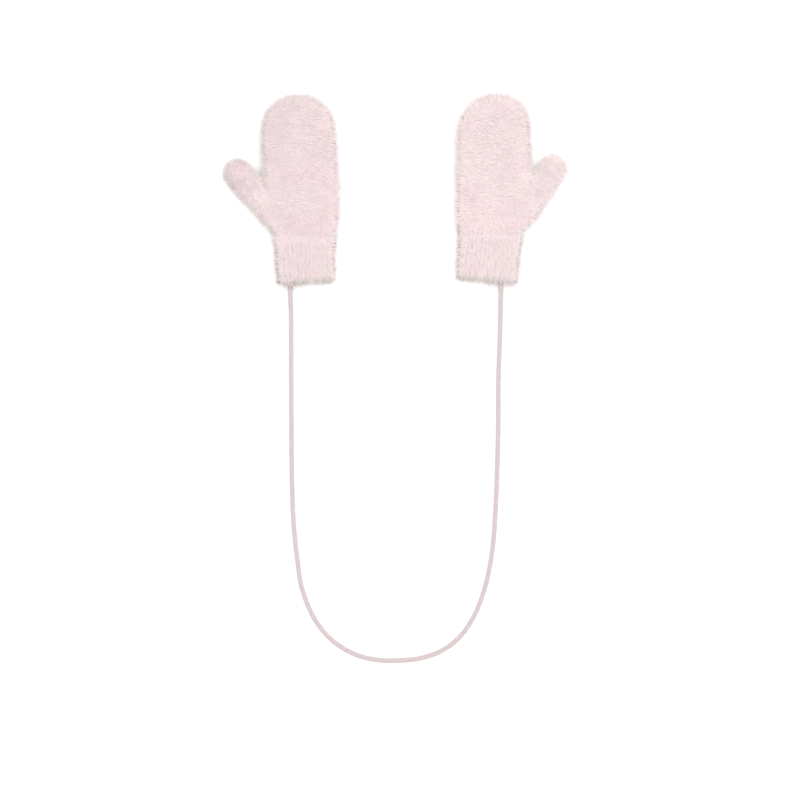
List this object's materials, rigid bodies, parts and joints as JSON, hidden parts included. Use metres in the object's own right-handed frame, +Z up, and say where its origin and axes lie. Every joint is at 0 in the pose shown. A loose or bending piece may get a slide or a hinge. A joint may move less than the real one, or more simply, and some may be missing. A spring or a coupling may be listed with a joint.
{
  "type": "pair of child's mittens on a cord",
  "caption": "Fluffy knitted child's mittens with ribbed cuffs, hollow and open at the hem, joined cuff to cuff by one long knitted cord and laid flat.",
  "frame": {"origin": "on the surface that the pair rests on, in the middle of the box round both mittens, the cord left out", "axes": "+X across the pair, from the left mitten to the right one as seen from above; +Y from the cuffs to the fingertips; +Z up, away from the surface"},
  "size_m": [0.307, 0.5117, 0.0126],
  "materials": {
    "fluffy_knit": "matte, long soft pile",
    "knitted_cord": "matte, fine knit"
  },
  "bodies": {
    "root": {"left_hand": "fluffy_knit", "left_thumb": "fluffy_knit", "left_cuff": "fluffy_knit", "right_hand": "fluffy_knit", "right_thumb": "fluffy_knit", "right_cuff": "fluffy_knit", "cord": "knitted_cord"}
  },
  "joints": []
}
